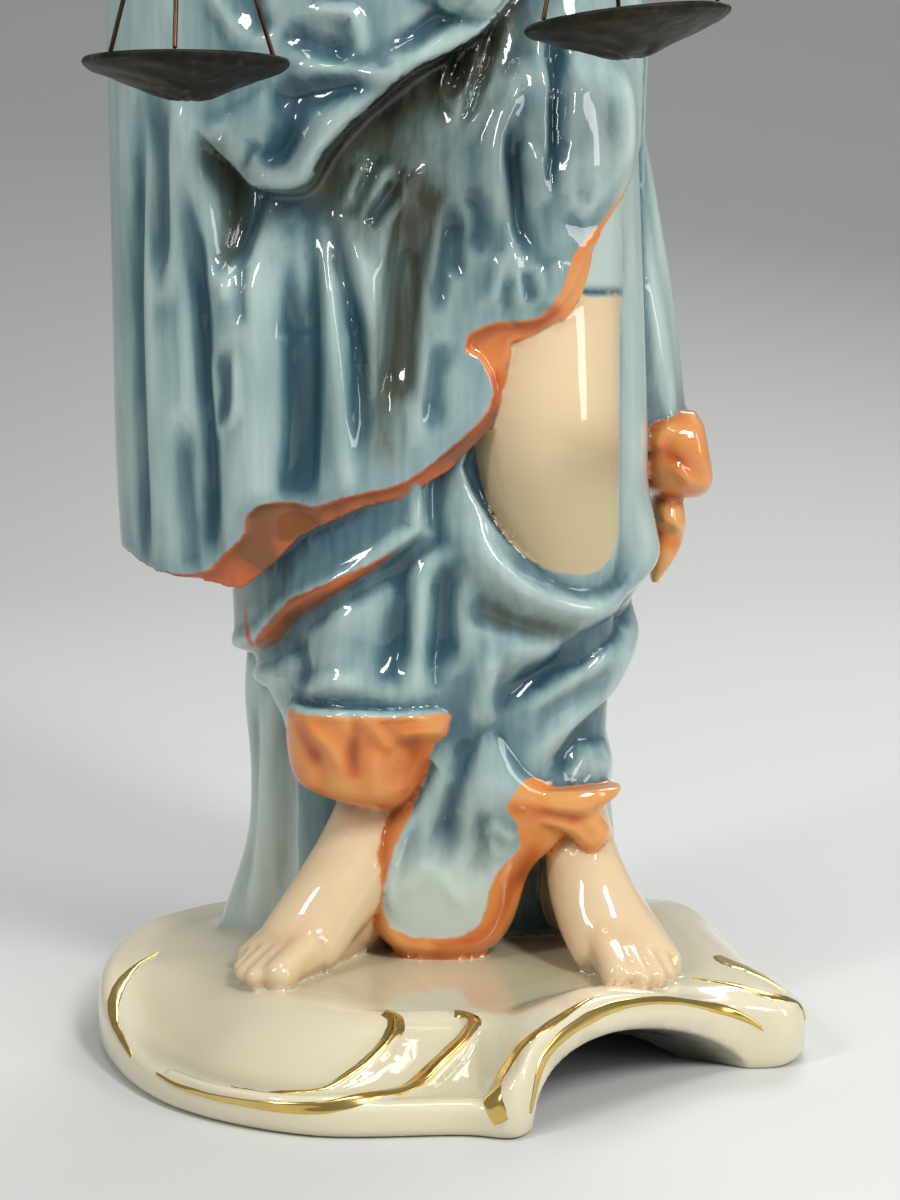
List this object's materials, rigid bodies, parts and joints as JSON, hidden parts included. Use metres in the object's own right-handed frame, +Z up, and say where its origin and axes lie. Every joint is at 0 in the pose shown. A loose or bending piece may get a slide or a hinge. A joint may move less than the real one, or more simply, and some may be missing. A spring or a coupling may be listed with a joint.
{
  "type": "standing porcelain figurine",
  "caption": "Glazed porcelain blindfolded goddess in a gown and wide mantle, barefoot on a scalloped rococo base, holding a small brass balance with hanging pans.",
  "frame": {"origin": "middle of the base's underside, which is the middle of the bounding box at the table", "axes": "+Z up from the base to the crown of the head, -Y towards the viewer whom she faces, +X to the viewer's right"},
  "size_m": [0.1225, 0.1103, 0.3335],
  "materials": {
    "porcelain": "gloss",
    "brass": "aged satin",
    "dark_brass": "dark patina",
    "copper_wire": "satin"
  },
  "bodies": {
    "root": {"porcelain_figure": "porcelain", "balance_hanger": "brass", "balance_beam": "brass", "left_pan": "dark_brass", "left_pan_wires": "copper_wire", "right_pan": "dark_brass", "right_pan_wires": "copper_wire"}
  },
  "joints": []
}
